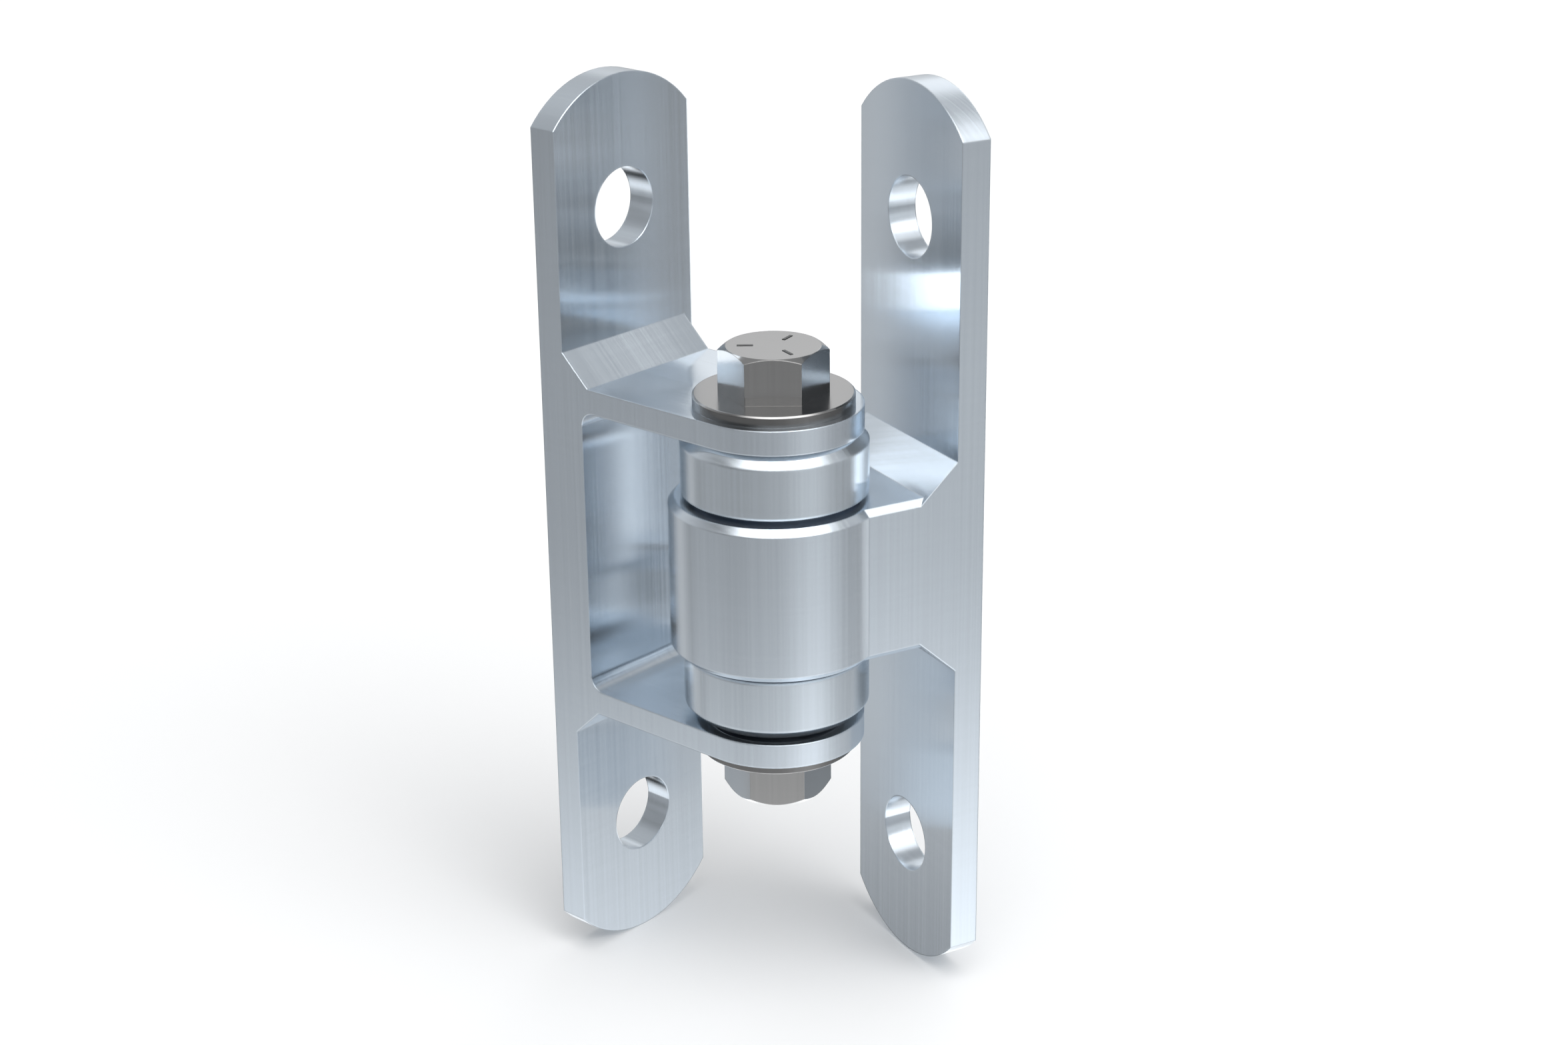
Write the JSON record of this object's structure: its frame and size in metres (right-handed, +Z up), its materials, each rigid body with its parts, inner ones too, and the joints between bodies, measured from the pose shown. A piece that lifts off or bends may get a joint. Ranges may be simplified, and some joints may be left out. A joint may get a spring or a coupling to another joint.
{
  "type": "gate hinge",
  "caption": "Bolt-on gate hinge: a forked post leaf carries a barrelled gate leaf on a pivot bolt with sealed roller bearings.",
  "frame": {"origin": "middle of the post leaf's two bolt holes, on the outer face that meets the post", "axes": "+Z up along the pivot bolt towards its head, -X out of the post leaf's mounting face, front of the leaves towards -Y"},
  "size_m": [0.0956, 0.079, 0.2389],
  "materials": {
    "leaf_steel": "bright zinc, fine vertical brushing",
    "carrier_steel": "bright zinc, turned",
    "bolt_steel": "satin steel",
    "washer_steel": "satin steel",
    "bearing_steel": "ground",
    "cage_steel": "pressed sheet",
    "rubber": "matt black"
  },
  "bodies": {
    "post_side": {"fork_leaf": "leaf_steel", "pivot_bolt": "bolt_steel", "washers": "washer_steel", "hex_nut": "bolt_steel", "spacer_sleeve": "bearing_steel", "upper_inner_race": "bearing_steel", "upper_end_spacer": "bearing_steel", "lower_inner_race": "bearing_steel", "lower_end_spacer": "bearing_steel"},
    "gate_side": {"knuckle_leaf": "leaf_steel", "upper_bearing_carrier": "carrier_steel", "upper_outer_race": "bearing_steel", "upper_grease_seal": "rubber", "upper_slot_ring": "rubber", "lower_bearing_carrier": "carrier_steel", "lower_outer_race": "bearing_steel", "lower_grease_seal": "rubber", "lower_slot_ring": "rubber"},
    "upper_rolling_set": {"upper_rollers": "bearing_steel", "upper_roller_cage": "cage_steel"},
    "lower_rolling_set": {"lower_rollers": "bearing_steel", "lower_roller_cage": "cage_steel"}
  },
  "joints": [
    {"name": "gate_swing", "type": "hinge", "parent": "post_side", "child": "gate_side", "pos_m": [0.05815, -0.0006, 0], "axis": [0, 0, 1], "range_deg": [-185.4, 44.6]},
    {"name": "upper_roller_travel", "type": "hinge", "parent": "post_side", "child": "upper_rolling_set", "pos_m": [0.05815, -0.0006, 0], "axis": [0, 0, 1], "range_deg": [-109, 27]},
    {"name": "lower_roller_travel", "type": "hinge", "parent": "post_side", "child": "lower_rolling_set", "pos_m": [0.05815, -0.0006, 0], "axis": [0, 0, 1], "range_deg": [-109, 27]}
  ],
  "couplings": [
    {"joint": "upper_roller_travel", "follows": "gate_swing", "ratio": 0.5813},
    {"joint": "lower_roller_travel", "follows": "gate_swing", "ratio": 0.5813}
  ]
}
